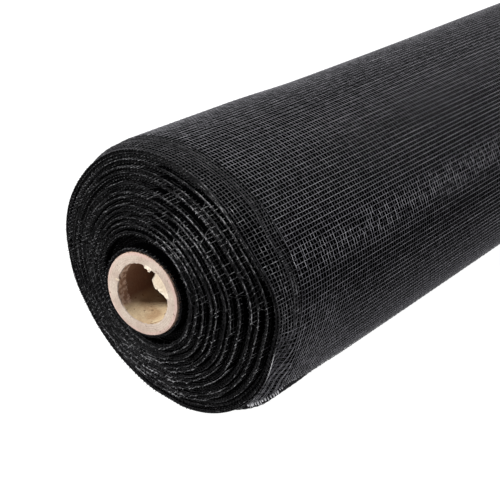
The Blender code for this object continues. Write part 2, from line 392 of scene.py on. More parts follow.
def makeUnderMaterial(name, look):
    finish = Finish(name, {"Specular IOR Level": look["shine"]})
    drift = finish.noise(look["driftScale"])
    edge, blur = 0.5 - 0.5 * look["yarnShare"], look["blur"]
    counts = finish.parts(finish.node("ShaderNodeUVMap", {"uv_map": "netMap"}, {}))
    weave = [
        finish.span(((count + slip * drift).fract() - 0.5).size(), edge - blur, edge + blur)
        for count, slip in zip(counts, look["drift"])
    ]
    weave = weave[0].larger(weave[1])
    spot = finish.spot()
    lengthwise, _, upward = finish.parts(spot)
    patches = finish.spots(look["patchScale"], 2.0, 0.35, 0.7, 0.3, 1.0)
    # painted shade: darker below a height and next to the near rim
    patches = patches * finish.span(upward, *look["lit"], 0.12, 1.0)
    patches = patches * finish.span(lengthwise, *look["rim"], 0.25, 1.0)
    colour = finish.blend(weave * patches, look["hole"], look["yarn"])
    scaled = {"operation": "MULTIPLY"}, {0: spot, 1: look["streakScale"]}
    streaks = finish.noise(1.0, 3.0, finish.node("ShaderNodeVectorMath", *scaled))
    smudges = finish.spots(look["smudgeScale"], 2.0, 0.40, 0.66, 0.45, 1.0)
    fray = finish.attribute("fray") * finish.span(streaks, 0.3, 0.7, 0.5, 1.0) * smudges
    colour = finish.blend(fray, colour, look["fray"])
    return finish.finish(colour, look["roughness"] - 0.15 * weave, weave, look["relief"], 0.6)


yarns = {name: makeYarnMaterial(name, *look) for name, look in yarnLooks.items()}
underNet = makeUnderMaterial("net under the outermost ply", underLook)
print("net materials made")


# Geometry Nodes: sweeps a round yarn along every line of a wire mesh. The wire's points say which
# way is outwards, on which side of the weave the yarn passes there, and how thick it is
def makeSweepTree():
    tree = bpy.data.node_groups.new("yarn along lines", "GeometryNodeTree")
    inputs = {
        "Lines": "Geometry", "Yarn Radius": "Float", "Weave Height": "Float", "Sides": "Int",
        "Finish": "Material",
    }
    for name, kind in inputs.items():
        tree.interface.new_socket(name, in_out="INPUT", socket_type="NodeSocket" + kind)
    tree.interface.new_socket("Yarns", in_out="OUTPUT", socket_type="NodeSocketGeometry")

    def add(kind, sockets, **settings):
        node = tree.nodes.new(kind)
        for name, value in settings.items():
            setattr(node, name, value)
        for key, value in sockets.items():
            if isinstance(value, bpy.types.NodeSocket):
                tree.links.new(value, node.inputs[key])
            else:
                node.inputs[key].default_value = value
        return node.outputs

    def named(name, kind="FLOAT"):
        return add("GeometryNodeInputNamedAttribute", {"Name": name}, data_type=kind)["Attribute"]

    def product(first, second):
        return add("ShaderNodeMath", {0: first, 1: second}, operation="MULTIPLY")[0]

    given = add("NodeGroupInput", {})
    height = product(named("side"), given["Weave Height"])
    outward = {0: named("outward", "FLOAT_VECTOR"), "Scale": height}
    push = add("ShaderNodeVectorMath", outward, operation="SCALE")[0]
    woven = add("GeometryNodeSetPosition", {"Geometry": given["Lines"], "Offset": push})[0]
    sizes = {"Radius": 1.0, "Resolution": given["Sides"]}
    sweep = add("GeometryNodeCurveToMesh", {
        "Curve": add("GeometryNodeMeshToCurve", {0: woven})[0],
        "Profile Curve": add("GeometryNodeCurvePrimitiveCircle", sizes)["Curve"],
        "Scale": product(named("thickness"), given["Yarn Radius"]),
        "Fill Caps": True,
    })[0]
    real = add("GeometryNodeRealizeInstances", {0: sweep})[0]
    finished = add("GeometryNodeSetMaterial", {"Geometry": real, "Material": given["Finish"]})[0]
    add("NodeGroupOutput", {0: finished})
    return tree


sweepTree = makeSweepTree()


class Lines:
    # gathers the yarns of one piece of net as lines of points
    def __init__(self):
        self.points, self.edges = [], []
        self.values = {"outward": [], "side": [], "thickness": [], "glint": []}
        self.count = 0

    def addGrid(self, points, angle, side, thickness, glint, joined=None):
        # points has the shape (lines, points of a line, 3), or (points, 3) for one line.
        # joined says which steps of a line are there
        points = points.reshape(-1, *points.shape[-2:])
        rows, columns = points.shape[:2]
        self.points.append(points.reshape(-1, 3))
        outward = np.broadcast_to(radial(angle), points.shape)
        self.values["outward"].append(outward.reshape(-1, 3))
        for key, value in (("side", side), ("thickness", thickness), ("glint", glint)):
            self.values[key].append(np.broadcast_to(value, (rows, columns)).ravel())
        index = np.arange(rows * columns).reshape(rows, columns) + self.count
        pairs = np.stack((index[:, :-1], index[:, 1:]), axis=-1)
        if joined is not None:
            pairs = pairs[joined.reshape(rows, columns - 1)]
        self.edges.append(pairs.reshape(-1, 2))
        self.count += rows * columns

    def makeMesh(self, name):
        points, edges = np.concatenate(self.points), np.concatenate(self.edges)
        used = np.zeros(len(points), bool)
        used[edges.ravel()] = True
        renumber = np.cumsum(used) - 1
        mesh = bpy.data.meshes.new(name)
        mesh.vertices.add(int(used.sum()))
        mesh.vertices.foreach_set("co", points[used].astype(np.float32).ravel())
        mesh.edges.add(len(edges))
        mesh.edges.foreach_set("vertices", renumber[edges].astype(np.int32).ravel())
        for key, store in self.values.items():
            kind, field = ("FLOAT_VECTOR", "vector") if key == "outward" else ("FLOAT", "value")
            values = np.concatenate(store)[used].astype(np.float32).ravel()
            mesh.attributes.new(key, kind, "POINT").data.foreach_set(field, values)
        mesh.update()
        return mesh


def makeNetPiece(name, lines, sizes, material, sides=3):
    # runs the sweep on the lines and keeps the result as a plain mesh
    source = addObject(name + "_lines", lines.makeMesh(name))
    modifier = source.modifiers.new("tree", "NODES")
    modifier.node_group = sweepTree
    inputs = {
        "Yarn Radius": sizes["yarnRadius"] * mm,
        "Weave Height": sizes["weaveHeight"] * mm,
        "Sides": sides,
        "Finish": material,
    }
    for item in sweepTree.interface.items_tree:
        if item.name in inputs:
            modifier[item.identifier] = inputs[item.name]
    graph = bpy.context.evaluated_depsgraph_get()
    mesh = bpy.data.meshes.new_from_object(source.evaluated_get(graph), depsgraph=graph)
    bpy.data.objects.remove(source)
    mesh.name = name
    for key in ("outward", "side", "thickness"):
        mesh.attributes.remove(mesh.attributes[key])
    mesh.shade_smooth()
    piece = addObject(name, mesh)
    print(name, len(mesh.loops) - 2 * len(mesh.polygons), "triangles")
    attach(piece, "root")
    return piece


# The outermost ply: ring yarns round the roll, from the cut edge back for a little more than a
# turn, woven through yarns that run the roll's length
ply = {
    "rings": 425,
    "hem": (0.35, 0.2),  # from the net's near and far edges to its first and last ring yarn
    "firstBack": 3.4,
    "lastBack": 384.0,
    # degrees between lengthwise yarns, by angle
    "spacing": [
        (0, 1.9), (40, 2.2), (60, 2.4), (85, 2.3), (100, 2.30), (115, 2.10), (130, 1.95),
        (145, 1.66), (156, 1.80), (168, 1.81), (180, 1.72), (195, 1.98), (215, 2.1), (230, 1.9),
        (360, 1.9),
    ],
    # painted shade: how far the ring yarns are darkened, by angle, as a gloss on round yarns shows
    # from one side only
    "ringPaintedShade": [
        (0, 0.5), (85, 0.5), (100, 0.50), (115, 0.25), (130, 0.50), (140, 0.50), (150, 0.25),
        (156, 0.0), (161, 0.3), (168, 0.66), (180, 0.62), (190, 0.40), (205, 0.20), (240, 0.3),
        (360, 0.5),
    ],
    # painted sheen: how much brighter the lengthwise yarns are drawn, by angle
    "paintedSheen": [
        (0, 0.0), (60, 0.16), (85, 0.15), (100, 0.13), (115, 0.08), (130, 0.10), (140, 0.30),
        (152, 0.38), (162, 0.16), (172, 0.20), (183, 0.34), (195, 0.58), (215, 0.68), (240, 0.2),
        (360, 0.0),
    ],
    # painted highlight: a band round the roll where the ring yarns glint, and how bright it is
    # drawn
    "sparkle": (1.0, 156.0, 11.0),
    "sparkleGlint": 1.3,
    "jitter": (0.025, 0.13),  # along the roll: everywhere, and more where it sparkles
    # bends in a yarn, and how far they go: ring yarns along the roll, their crossings round it, and
    # lengthwise yarns
    "sway": (16, 0.10),
    "drift": (30, 0.09),
    "bend": (9, 0.16),
    "yarnRadius": 0.110,
    "weaveHeight": 0.07,
    "sunk": 0.08,
    "pieces": 3,
    "lengthSteps": 36,
    "covered": (175.0, 30.0),  # from here back, the first yarns lie in the dark
    "shaded": (335.0, 8.0),  # in the shade of the loose end
    "fray": {"back": 19.0, "rise": (16.0, 18.0)},  # the last lengthwise yarns have come out here
    "cornerLength": (16.0, 26.0),  # how far the loose corner reaches along the roll and round it
    "cornerArc": (44.0, 20.0),
    "seed": 11,
}
# The loose corner: the weave goes on to the selvedge, over a second ply a little out of step
corner = {
    "rings": 6,
    "backs": (4.0, 47.0, 0.95),
    "thickness": 1.3,
    "doubledLength": 6.6,
    "doubledArc": 33.0,
    "along": 0.42,
    "round": 0.7,
    "sink": {"depth": 0.25, "rise": (36.0, 10.0)},
}
lastRing = roll["netWidth"] + roll["farLip"] - ply["hem"][1]
crossingSteps = np.arange(0.0, ply["lastBack"], 0.5)
crossingSpacing = byAngle(angleAt(crossingSteps), ply["spacing"])
crossingCounts = np.concatenate(((0.0,), np.cumsum(0.5 / crossingSpacing[:-1])))
crossingPlaces = np.interp(np.arange(int(crossingCounts[-1])), crossingCounts, crossingSteps)
crossingPlaces = ply["firstBack"] + crossingPlaces
looseCount = int(np.searchsorted(crossingPlaces, roll["looseArc"] - 3.0))  # on the loose end


def ringPlace(share, back):
    start = plyEdge(back) + ply["hem"][0]
    return start + share * (lastRing - start)


def plyPoint(x, back):
    angle = angleAt(back)
    return placeAbove(x, plyRadius(x, back) - ply["sunk"], angle, 0.2)


def nearCornerShare(x, back):
    return (1.0 - rise(x, *ply["cornerLength"])) * (1.0 - rise(back, *ply["cornerArc"]))


def frayed(x, back):
    fray = ply["fray"]
    return smooth((fray["back"] - back) / 3.0 + 0.5) * rise(x, *fray["rise"])


def addCornerYarns(lines, random):
    pitch = roll["netWidth"] / ply["rings"]
    sink = corner["sink"]

    def add(x, back, spread, joined=None):
        x, back = np.broadcast_arrays(x, back)
        radius = plyRadius(x, back) - ply["sunk"] - sink["depth"] * rise(back, *sink["rise"])
        glint = np.clip(random.normal(0.0, spread, x.shape), -0.5, 0.5)
        angle = angleAt(back)
        lines.addGrid(place(x, radius, angle), angle, 0.0, corner["thickness"], glint, joined)

    steps = np.arange(*corner["backs"])
    firstRing = ringPlace(0.0, steps)
    along = corner["along"] * (1.0 + 0.5 * smooth((18.0 - steps) / 10.0))
    doubledBack = steps < corner["doubledArc"]
    for number in range(1 - corner["rings"], corner["rings"]):
        for doubled in (False, True):
            x = firstRing + pitch * number + (along if doubled else 0.0)
            shown = (steps >= cutBack(x)) & (x > 0.4) & ((number < 0) | doubled)
            if doubled:
                shown = shown & (x < corner["doubledLength"]) & doubledBack
            add(x, steps, 0.3, shown[1:] & shown[:-1])
    for crossing in crossingPlaces[crossingPlaces < corner["backs"][1]]:
        reaches = [(crossing, float(ringPlace(0.0, crossing)))]
        if crossing < corner["doubledArc"]:
            reaches.append((crossing + corner["round"], corner["doubledLength"]))
        for back, reach in reaches:
            fine = np.arange(0.3, reach, 0.1)
            shown = fine[cutBack(fine) <= back]
            if len(shown) > 8:
                add(np.linspace(shown[0], shown[-1], 5), back, 0.25)


def ringGlint(x, back, share, random):
    # scuffed here and there, with painted shade where the light doesn't catch it and painted glints
    # along one band
    nearCorner = nearCornerShare(x, back)
    scuffAndPaintedLight = np.clip(random.normal(-0.25, 0.24, x.shape), 0.0, 0.6)
    scuffAndPaintedLight = scuffAndPaintedLight + nearCorner * random.normal(0.1, 0.2, x.shape)
    edge = np.exp(-share * roll["netWidth"])
    looseEdge = edge * np.clip(1.0 - back / 60.0, 0.0, 1.0)
    covered = rise(back, *ply["covered"]) * (1.0 - rise(share * roll["netWidth"], 1.0, 3.0))
    paintedShade = byAngle(angleAt(back), ply["ringPaintedShade"]) + 0.12 * smooth(x / 110.0)
    paintedShade = paintedShade * (1.0 - 0.8 * nearCorner)
    sparkle = hump(angleAt(back), ply["sparkle"])
    sparkle = sparkle * np.where(random.uniform(0.0, 1.0, x.shape) < 0.5, 1.0, -0.1)
    glint = np.clip(scuffAndPaintedLight + 0.3 * looseEdge, 0.0, 1.0) - 0.9 * covered
    glint = glint - paintedShade * (1.0 - looseEdge) - 0.3 * (edge - looseEdge)
    glint = glint + ply["sparkleGlint"] * sparkle - 1.2 * rise(back, *ply["shaded"])
    return np.clip(glint, -1.0, 1.0) + frayed(x, back) * random.uniform(0.1, 0.5, x.shape)


def lengthwiseSpans(crossing, random):
    # where a lengthwise yarn starts and stops. The first few are cut short or have come out
    first = float(ringPlace(0.0, crossing)) - 0.25
    fine = np.arange(0.0, 603.0, 0.2)
    cut = cutBack(fine)
    spans = [(first, lastRing)]
    if crossing < cut.max() + 0.3:
        shown = (cut <= crossing) & (fine >= first)
        starts = np.flatnonzero(shown & ~np.roll(shown, 1))
        stops = np.flatnonzero(shown & ~np.roll(shown, -1))
        spans = [(fine[low], fine[high]) for low, high in zip(starts, stops) if high > low + 1]
    if crossing < ply["fray"]["back"]:
        spans = [(low, min(high, random.uniform(18.0, 30.0))) for low, high in spans if low < 17.0]
    return spans


def makePly():
    random = np.random.default_rng(ply["seed"])
    rings, crossings = ply["rings"], len(crossingPlaces)
    share = (np.arange(rings) / (rings - 1.0))[:, None]
    columns = range(crossings)
    drift = np.stack([wave(900 + one, rings, *ply["drift"]) for one in columns], axis=1)
    back = crossingPlaces[None, :] + drift
    sway = np.stack([wave(ply["seed"] + row, crossings, *ply["sway"]) for row in range(rings)])
    least, more = ply["jitter"]
    jitter = least + more * hump(angleAt(back), ply["sparkle"])
    x = ringPlace(share, back) + sway + random.normal(0.0, 1.0, back.shape) * jitter
    cut = cutBack(x)
    beyond = back < cut
    back = np.maximum(back, cut)
    joined = ~(beyond[:, 1:] & beyond[:, :-1])
    glint = ringGlint(x, back, share, random)
    thick = 1.0 + (corner["thickness"] - 1.0) * nearCornerShare(x, back)
    thick = random.uniform(0.92, 1.08, x.shape) * thick
    values = plyPoint(x, back), angleAt(back), overUnder(rings, crossings), thick, glint
    loose = Lines()
    loose.addGrid(*(value[:, :looseCount] for value in values), joined[:, :looseCount - 1])
    wound = [Lines() for _ in range(ply["pieces"])]
    for lines, group in zip(wound, np.array_split(np.arange(rings), ply["pieces"])):
        lines.addGrid(*(value[group, looseCount - 1:] for value in values))

    # lengthwise yarns, straight, with closer points near the near end
    along = np.linspace(0.0, 1.0, ply["lengthSteps"] + 1)
    along = 0.25 * along + 0.75 * along ** 3
    for number, crossing in enumerate(crossingPlaces):
        spans = lengthwiseSpans(crossing, random)
        tone = random.normal(0.0, 0.07)
        for low, high in spans:
            steps = along if high - low > 100.0 else np.linspace(0.0, 1.0, 5)
            x = low + (high - low) * steps
            back = crossing + wave(300 + number, len(x), *ply["bend"]) * smooth(x / 30.0)
            angle = angleAt(back)
            # random scuffs, then painted sheen by angle and further along the roll, painted shade
            # under the loose end and under the rim, and a little darker near the loose corner
            scuffAndPaintedLight = np.clip(random.normal(-0.15, 0.2, x.shape) + tone, -0.25, 0.5)
            scuffAndPaintedLight = scuffAndPaintedLight + byAngle(angle, ply["paintedSheen"]) * (0.75 + 0.25 * smooth(x / 60.0))
            scuffAndPaintedLight = scuffAndPaintedLight + 0.14 * rise(x, 70.0, 130.0) - 1.4 * rise(back, *ply["shaded"])
            scuffAndPaintedLight = scuffAndPaintedLight - 0.9 * rise(back, *ply["covered"]) * (1.0 - rise(x, 2.0, 3.0))
            scuffAndPaintedLight = np.clip(scuffAndPaintedLight - 0.14 * nearCornerShare(x, back), -1.0, 1.0)
            group = (number - looseCount) * ply["pieces"] // (crossings - looseCount)
            lines = loose if number < looseCount else wound[group]
            lines.addGrid(plyPoint(x, back), angle, 0.0, 1.0, scuffAndPaintedLight)
    addCornerYarns(loose, random)
    looseNet = makeNetPiece("loose_end_net", loose, ply, yarns["black coated yarn"])
    for number, lines in enumerate(wound):
        makeNetPiece(f"outer_ply_{number + 1}", lines, ply, yarns["black coated yarn"])
    return looseNet


looseNet = makePly()


# The two plies under it, which show in a band between their own edges and the rim
bands = {
    "pitch": 1.25,
    "rings": 11,
    "backs": (24.0, 372.0),
    # degrees between lengthwise yarns, and how far the yarns are drawn brighter as painted sheen,
    # below
    # 0 darker as painted shade, by angle
    "spacing": [(0, 2.04), (85, 1.9), (110, 1.7), (150, 1.65), (165, 1.5), (225, 1.4), (360, 2.04)],
    "gloss": [
        (0, -0.35), (100, -0.30), (140, -0.15), (158, 0.02), (175, 0.10), (205, 0.08), (225, -0.1),
        (360, -0.35),
    ],
    "yarnRadius": 0.14,
    "weaveHeight": 0.07,
    "sunk": 0.12,
    "overlap": 2.2,
    "under": (0.4, 0.8),  # how far each ply lies under the outermost one
    "shift": (0.7, 1.5),
    "seed": 70,
}


def makeBands():
    lines = Lines()
    steps = np.arange(*bands["backs"], 0.5)
    counts = np.cumsum(0.5 / byAngle(angleAt(steps), bands["spacing"]))
    places = np.interp(np.arange(1, int(counts[-1])), counts, steps)
    for number, (under, shift) in enumerate(zip(bands["under"], bands["shift"])):
        back = places + shift
        gloss = byAngle(angleAt(back), bands["gloss"])
        random = np.random.default_rng(bands["seed"] + number)
        edges = [np.full_like(back, 0.25), secondEdge(back), plyEdge(back)]
        start, stop = edges[1 - number], edges[2 - number] + bands["overlap"]

        def add(x, back, side, glint, joined=None):
            angle = angleAt(np.broadcast_to(back, x.shape))
            radius = bandRadius(np.maximum(x, 0.0), back, under) - bands["sunk"]
            lines.addGrid(placeAbove(x, radius, angle, 0.3), angle, side, 1.0, glint, joined)

        rings = bands["rings"]
        sway = np.stack([wave(40 + 9 * number + row, len(back), 30, 0.2) for row in range(rings)])
        x = start + bands["pitch"] * np.arange(rings)[:, None] + sway
        shown = x < stop
        glint = np.clip(gloss + random.normal(-0.05, 0.3, x.shape), -0.7, 0.6)
        add(x, back, overUnder(*x.shape), glint, shown[:, 1:] & shown[:, :-1])
        length = np.maximum(stop - start, 0.6)
        x = (start - 0.3)[:, None] + np.linspace(0.0, 1.0, 8) * length[:, None]
        glint = np.clip(gloss[:, None] + random.normal(0.0, 0.27, x.shape), -0.6, 0.6)
        add(x, back[:, None], 0.0, glint)
    makeNetPiece("near_bands", lines, bands, yarns["black coated yarn near the rim, darkened as painted shade"])


makeBands()


# End faces: one spiral of net edges, from the rim in to the core. Groups of turns stand out by
# steps, and inside a group each turn stands out a little more than the one inside it. The first few
# turns went out with the core, so a wall of net shows round it
face = {
    "windings": 84,
    "innerRadius": 15.4,
    "meanRim": 50.5,
    "farInset": 1.4,
    "crossingsApart": 1.70,
    "levels": (5, 1),  # ring yarns that show on a turn's side, at the near face and the far one
    "coreShare": 0.04,
    "yarnRadius": 0.14,
    "weaveHeight": 0.05,
    # a group's end (0 core, 1 rim), how far its last turn stands out, how far its first is back
    "groups": [
        (0.035, 9.6, 0.0), (0.150, 5.2, 1.5), (0.200, 8.4, 0.9), (0.252, 7.9, 1.3),
        (0.312, 7.2, 1.5), (0.380, 6.5, 1.7), (0.432, 6.0, 1.2), (0.505, 5.2, 2.0),
        (0.558, 4.7, 1.3), (0.642, 3.8, 2.3), (0.745, 2.7, 2.7), (0.800, 2.1, 1.4),
        (0.885, 1.2, 2.2), (0.955, -0.8, 0.0), (1.0, 0.0, 0.2),
    ],
    "slot": 0.017,
    "coreSlant": (2.13, -1.12),  # across, up
    "overCore": (0.6, 105.0, 75.0),
    # how far the groups' ends wander outwards: angle, outer groups, groups next to the core
    "wander": [
        (0, 0.0, 0.0), (30, 0.02, 0.0), (60, 0.035, 0.0), (80, 0.018, 0.005), (100, 0.0, 0.008),
        (125, 0.008, 0.02), (150, 0.018, 0.022), (175, 0.004, -0.008), (200, -0.004, -0.028),
        (230, 0.008, -0.05), (250, 0.035, -0.03), (265, 0.07, 0.0), (285, 0.05, 0.0),
        (320, 0.01, 0.0), (360, 0.0, 0.0),
    ],
    "gap": (3.0, 165.0, 60.0),
    "rimStandsOut": (1.2, 137.0, 30.0),
    "rimLow": (0.7, 264.0, 62.0),
    "tidySide": 30.0,
    "frayed": (1.0, 122.0, 42.0),
    "unevenness": [(7.0, 0.28), (0.5, 0.22), (2.3, 0.50)],  # bends in a turn, how far it wanders
    "beats": [0.26, -0.7, -0.35],  # how the gloss changes from turn to turn in the shade
    "seed": 5,
}
spiralLength = face["windings"] * 360.0
groupStarts = [0.0] + [group[0] for group in face["groups"]]
faceGroups = [(start, *group) for start, group in zip(groupStarts, face["groups"])]


def standsOut(share, angle):
    # how far the net's edge lies in front of the rim
    angles, *wanders = np.array(face["wander"]).T
    outer, inner = (np.interp(angle % 360.0, angles, wander) for wander in wanders)
    moved = inner + (outer - inner) * rise(share, 0.2, 0.1)
    moved = moved * np.clip((share - 0.05) / 0.1, 0.0, 1.0)
    settled = share - moved * np.clip((0.93 - share) / 0.1, 0.0, 1.0)
    result = np.zeros_like(share)
    last = len(faceGroups) - 1
    for number, (start, stop, height, fall) in enumerate(faceGroups):
        within = np.clip((settled - start) / (stop - start), 0.0, 1.0)
        if number == 0:
            across, up = face["coreSlant"]
            level = height + 0.1 + hump(angle, face["overCore"])
            level = level + across * np.cos(np.radians(angle)) + up * np.sin(np.radians(angle))
        elif number == last:
            level = hump(angle, face["rimStandsOut"]) + hump(angle, face["rimLow"])
            level = level - fall * (1.0 - within)
        else:
            uneven = 0.25 * np.sin(np.radians(2.0 * angle) + 0.4 * number)
            level = height + uneven - fall * (1.0 - within) ** 0.8
        if number == last - 1:
            level = level - hump(angle, face["gap"])
        result = np.where((settled >= start) & ((settled < stop) | (number == last)), level, result)
    return result


def slotted(share, angle):
    # turns lie a little apart where one group ends and the next one starts
    result = share
    for number, (start, stop, _, _) in enumerate(faceGroups[:-1]):
        if number > 2:
            within = np.clip((share - start) / (stop - start), 0.0, 1.0)
            bend = np.sin(np.radians(angle * (1 + number % 3)) + 2.3 * number) ** 2
            width = face["slot"] * (0.45 + 0.55 * bend)
            inside = (share >= start) & (share < stop)
            result = np.where(inside, share + width * (1.0 - within), result)
    return result


def alongSpiral(back, seed, count, bends, strength=1.0):
    # a wander that follows the spiral
    places = np.linspace(0.0, spiralLength, count)
    return np.interp(back, places, wave(face["seed"] + seed, count, bends, strength))


def spiral():
    # crossings of the spiral, inwards from the rim. Inside a group of turns they nearly line up
    places = []
    for start, stop, _, _ in faceGroups:
        inner = face["innerRadius"]
        radius = inner + 0.5 * (start + stop) * (face["meanRim"] - inner)
        step = 360.0 / round(math.tau * radius / face["crossingsApart"])
        first, last = (1.0 - stop) * spiralLength, (1.0 - start) * spiralLength
        places.append(np.arange(math.ceil(first / step - 1e-9) * step, last - 0.3 * step, step))
    back = np.sort(np.concatenate(places))
    random = np.random.default_rng(face["seed"] + 30)
    shift = 0.30 * alongSpiral(back, 31, 3000, 160) + random.uniform(-0.12, 0.12, back.shape)
    move = np.gradient(back) * shift
    move[0] = 0.0
    return back + move


def faceRim(angle, back, far):
    rim = rimRadius(angle)
    if far:
        rim = fullRadius(roll["netWidth"], angle) - face["farInset"] - spiralDrop(back % 360.0)
    return aboveFloor(rim, angle, 0.1)


def awayFromTidy(angle):
    # the turns are wound most evenly on one side, and it is the one in shade
    return np.abs(fromAngle(angle, face["tidySide"]))


def facePoints(back, far):
    share, angle = 1.0 - back / spiralLength, angleAt(back)
    inner = face["innerRadius"]
    radius = inner + slotted(share, angle) * (faceRim(angle, back, far) - inner) - 0.06
    radius = aboveFloor(radius + 0.06 * rise(share, 0.955, 0.02), angle, 0.14)
    uneven = 0.45 + 0.55 * rise(awayFromTidy(angle), 70.0, 40.0)
    between = rise(share, 0.04, 0.05) * smooth((1.0 - share) / 0.03)
    out = standsOut(share, angle)
    for number, (bendsPerTurn, strength) in enumerate(face["unevenness"]):
        count = int(face["windings"] * bendsPerTurn)
        bends = alongSpiral(back, number, 4000, count, strength)
        out = out + bends * (uneven * between if number == 2 else uneven)
    return share, angle, radius, out


def makeFace(name, far):
    back = spiral()
    share, angle, radius, out = facePoints(back, far)
    random = np.random.default_rng(face["seed"] + (9 if far else 2))
    pitch, toCore, number = roll["netPitch"], 1.0 - share, np.arange(len(back))
    # how far a turn stands out past the next one outwards, or at the far end inwards
    if far:
        shown = np.interp(back + 360.0, back, out) - out
        edge, inward = roll["netWidth"] - out, -1.0
    else:
        shown = np.where(back < 360.0, 0.0, out - np.interp(back - 360.0, back, out))
        edge, inward = -out, 1.0
    shown = np.clip(shown, 0.0, 7.0)
    atCore = share < face["coreShare"]
    crest = np.where(atCore, 0.0, rise(shown, 0.8, 0.8))
    # painted light: on the lit side the crests get painted highlights, with streaks of brighter
    # ones; in the shade the turns are darkened turn by turn
    highlightStreak = np.clip(alongSpiral(back, 4, 3000, 900) - 0.45, 0.0, 1.0)
    lit = rise(awayFromTidy(angle), 62.0, 35.0)
    beat = np.array(face["beats"])[np.floor(back / 360.0).astype(int) % 3]
    spread = random.normal(0.0, 0.14, back.shape)
    bright = np.clip(spread - 0.10 + crest * (0.28 + 0.75 * highlightStreak), -0.6, 1.0)
    shaded = 0.06 * crest + (beat - 0.45) * (1.0 - crest) + 0.6 * spread + 0.5 * crest * highlightStreak
    frays = np.clip(random.normal(0.34, 0.60, back.shape), -0.3, 1.0)
    frays = hump(angle, face["frayed"]) * frays
    bright = np.where(atCore, bright - 0.3, bright + frays)
    glint = shaded + (bright - shaded) * lit
    lines = Lines()
    for row in range(face["levels"][int(far)]):
        points = place(edge + inward * (0.22 + row * pitch), radius, angle, toCore)
        keep = (shown > row * pitch - 0.35) | (row == 0)
        thick, tone = 1.0 + 0.25 * crest, glint
        if row:
            thick, tone = 1.0, 0.2 * glint - 0.35 - 0.25 * (1.0 - lit)
        side = np.where((number + row) % 2 == 0, 1.0, -1.0)
        lines.addGrid(points, angle, side, thick, tone, keep[1:] & keep[:-1])

    # the ends of the yarns that cross the turns
    tip = random.uniform(0.12, 0.55, back.shape)
    x = np.stack((edge - inward * tip, edge + inward * (0.75 + shown + 0.3)), axis=1)
    angle = angle[:, None]
    points = place(x, radius[:, None], angle, toCore[:, None])
    opened = np.where(atCore, 0.1, crest) * random.uniform(0.1, 1.0, back.shape) ** 1.5
    tips = np.stack((opened * 0.85, opened * 0.55 - 0.45 * (1.0 - opened)), axis=1)
    # painted light: the tips are brighter on the lit side, and set by beats in the shade
    tips = tips * (0.3 + 0.7 * lit)[:, None] + (beat * (1.0 - lit))[:, None]
    tips = tips + np.clip(random.normal(-0.15, 0.18, x.shape), 0.0, 0.6)
    side = np.where(number % 2 == 0, 0.5, -0.5)[:, None]
    lines.addGrid(points, angle, side, 1.05, tips)
    makeNetPiece(name, lines, face, yarns["black coated yarn at the edges, darkened as painted shade"])


makeFace("near_face_net", False)
makeFace("far_face_net", True)


def ringFaces(rows, columns):
    # the quads between closed rings of points, the last of which joins the first
    index = np.arange(rows * columns).reshape(rows, columns)
    following, beside = np.roll(index, -1, axis=0), np.roll(index, -1, axis=1)
    quads = (index, following, np.roll(following, -1, axis=1), beside)
    return np.stack(quads, axis=-1).reshape(-1, 4)


def makeNetMesh(name, points, faces, netMap):
    # netMap counts the yarns along the roll and round it
    mesh = bpy.data.meshes.new(name)
    mesh.from_pydata(points.tolist(), [], faces.tolist())
    flat = netMap[faces]
    count = flat[..., 1]
    wraps = count.max(axis=1, keepdims=True) - count > roll["yarnsRound"] / 2.0
    flat[..., 1] = np.where(wraps, count + roll["yarnsRound"], count)
    mesh.uv_layers.new(name="netMap").data.foreach_set("uv", flat.astype(np.float32).ravel())
    mesh.materials.append(underNet)
    mesh.shade_smooth()
    return mesh


def netCount(x, angle):
    return np.stack((x / roll["netPitch"], angle / 360.0 * roll["yarnsRound"]), axis=-1)


# The wound body under all of these: a closed form, dark as painted shade
body = {
    "columns": 180,
    "recess": 1.25,
    "lip": 0.3,
    "under": 0.42,
    "faceSteps": (0.02, 0.35, 0.7, 0.98),  # within each group of turns
    "bandSteps": (0.12, 0.4, 0.7, 0.92),  # from the near rim to the outermost ply's edge
    "lengthSteps": (0.3, 2, 5, 9, 15, 30, 60, 100, 150, 200, 260, 320, 380, 440, 500, 560, 599),
}


def makeBody():
    columns, netWidth = body["columns"], roll["netWidth"]
    angle = np.linspace(0.0, 360.0, columns, endpoint=False)
    back = angleAt(angle) % 360.0
    loops, maps = [], []

    def addLoop(x, radius, toCore=0.0, spare=0.5):
        loops.append(placeAbove(x, radius, angle, spare, toCore))
        maps.append(netCount(x, angle))

    def addFace(far):
        inner, rim = face["innerRadius"], faceRim(angle, back, far)
        shares = [
            start + step * (stop - start)
            for start, stop, *_ in faceGroups for step in body["faceSteps"]
        ]
        for share in reversed(shares) if far else shares:
            atRim = rise(share, 0.965, 0.02)
            recess = body["recess"] + (body["lip"] - body["recess"]) * atRim
            out = standsOut(np.full_like(angle, share), angle)
            radius = inner + share * (rim - 0.5 + 0.46 * atRim - inner)
            addLoop(netWidth - out - recess if far else recess - out, radius, 1.0 - share, 0.0)

    addFace(False)
    edge = plyEdge(back)
    for step in body["bandSteps"]:
        x = np.maximum(edge * step, 0.9)
        addLoop(x, bandRadius(x, back, 0.8) - 0.38)
    drop = spiralDrop(back) + sheetRoom(back) + body["under"]
    for step in body["lengthSteps"]:
        x = edge + step * (netWidth - edge) / 599.0
        addLoop(x, fullRadius(x, angle) - drop)
    addFace(True)
    faces = ringFaces(len(loops), columns)
    mesh = makeNetMesh("wound_body", np.concatenate(loops), faces, np.concatenate(maps))
    faceOutwards(mesh, lambda polygon: abs(polygon.center.x) < 0.2)
    mesh.set_sharp_from_angle(angle=math.radians(40.0))
    piece = addObject("wound_body", mesh)
    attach(piece, "root")
    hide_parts("net_roll")
    print("wound_body", 2 * len(faces), "triangles")


makeBody()


# The loose end of the outermost ply: a thin cloth under its yarns, dark as painted shade behind
# their holes
looseEnd = {
    "flat": (0.60, 0.040),
    "columns": 14,
    "rows": 40,
    "under": 0.40,
    "thickness": 0.25,
}


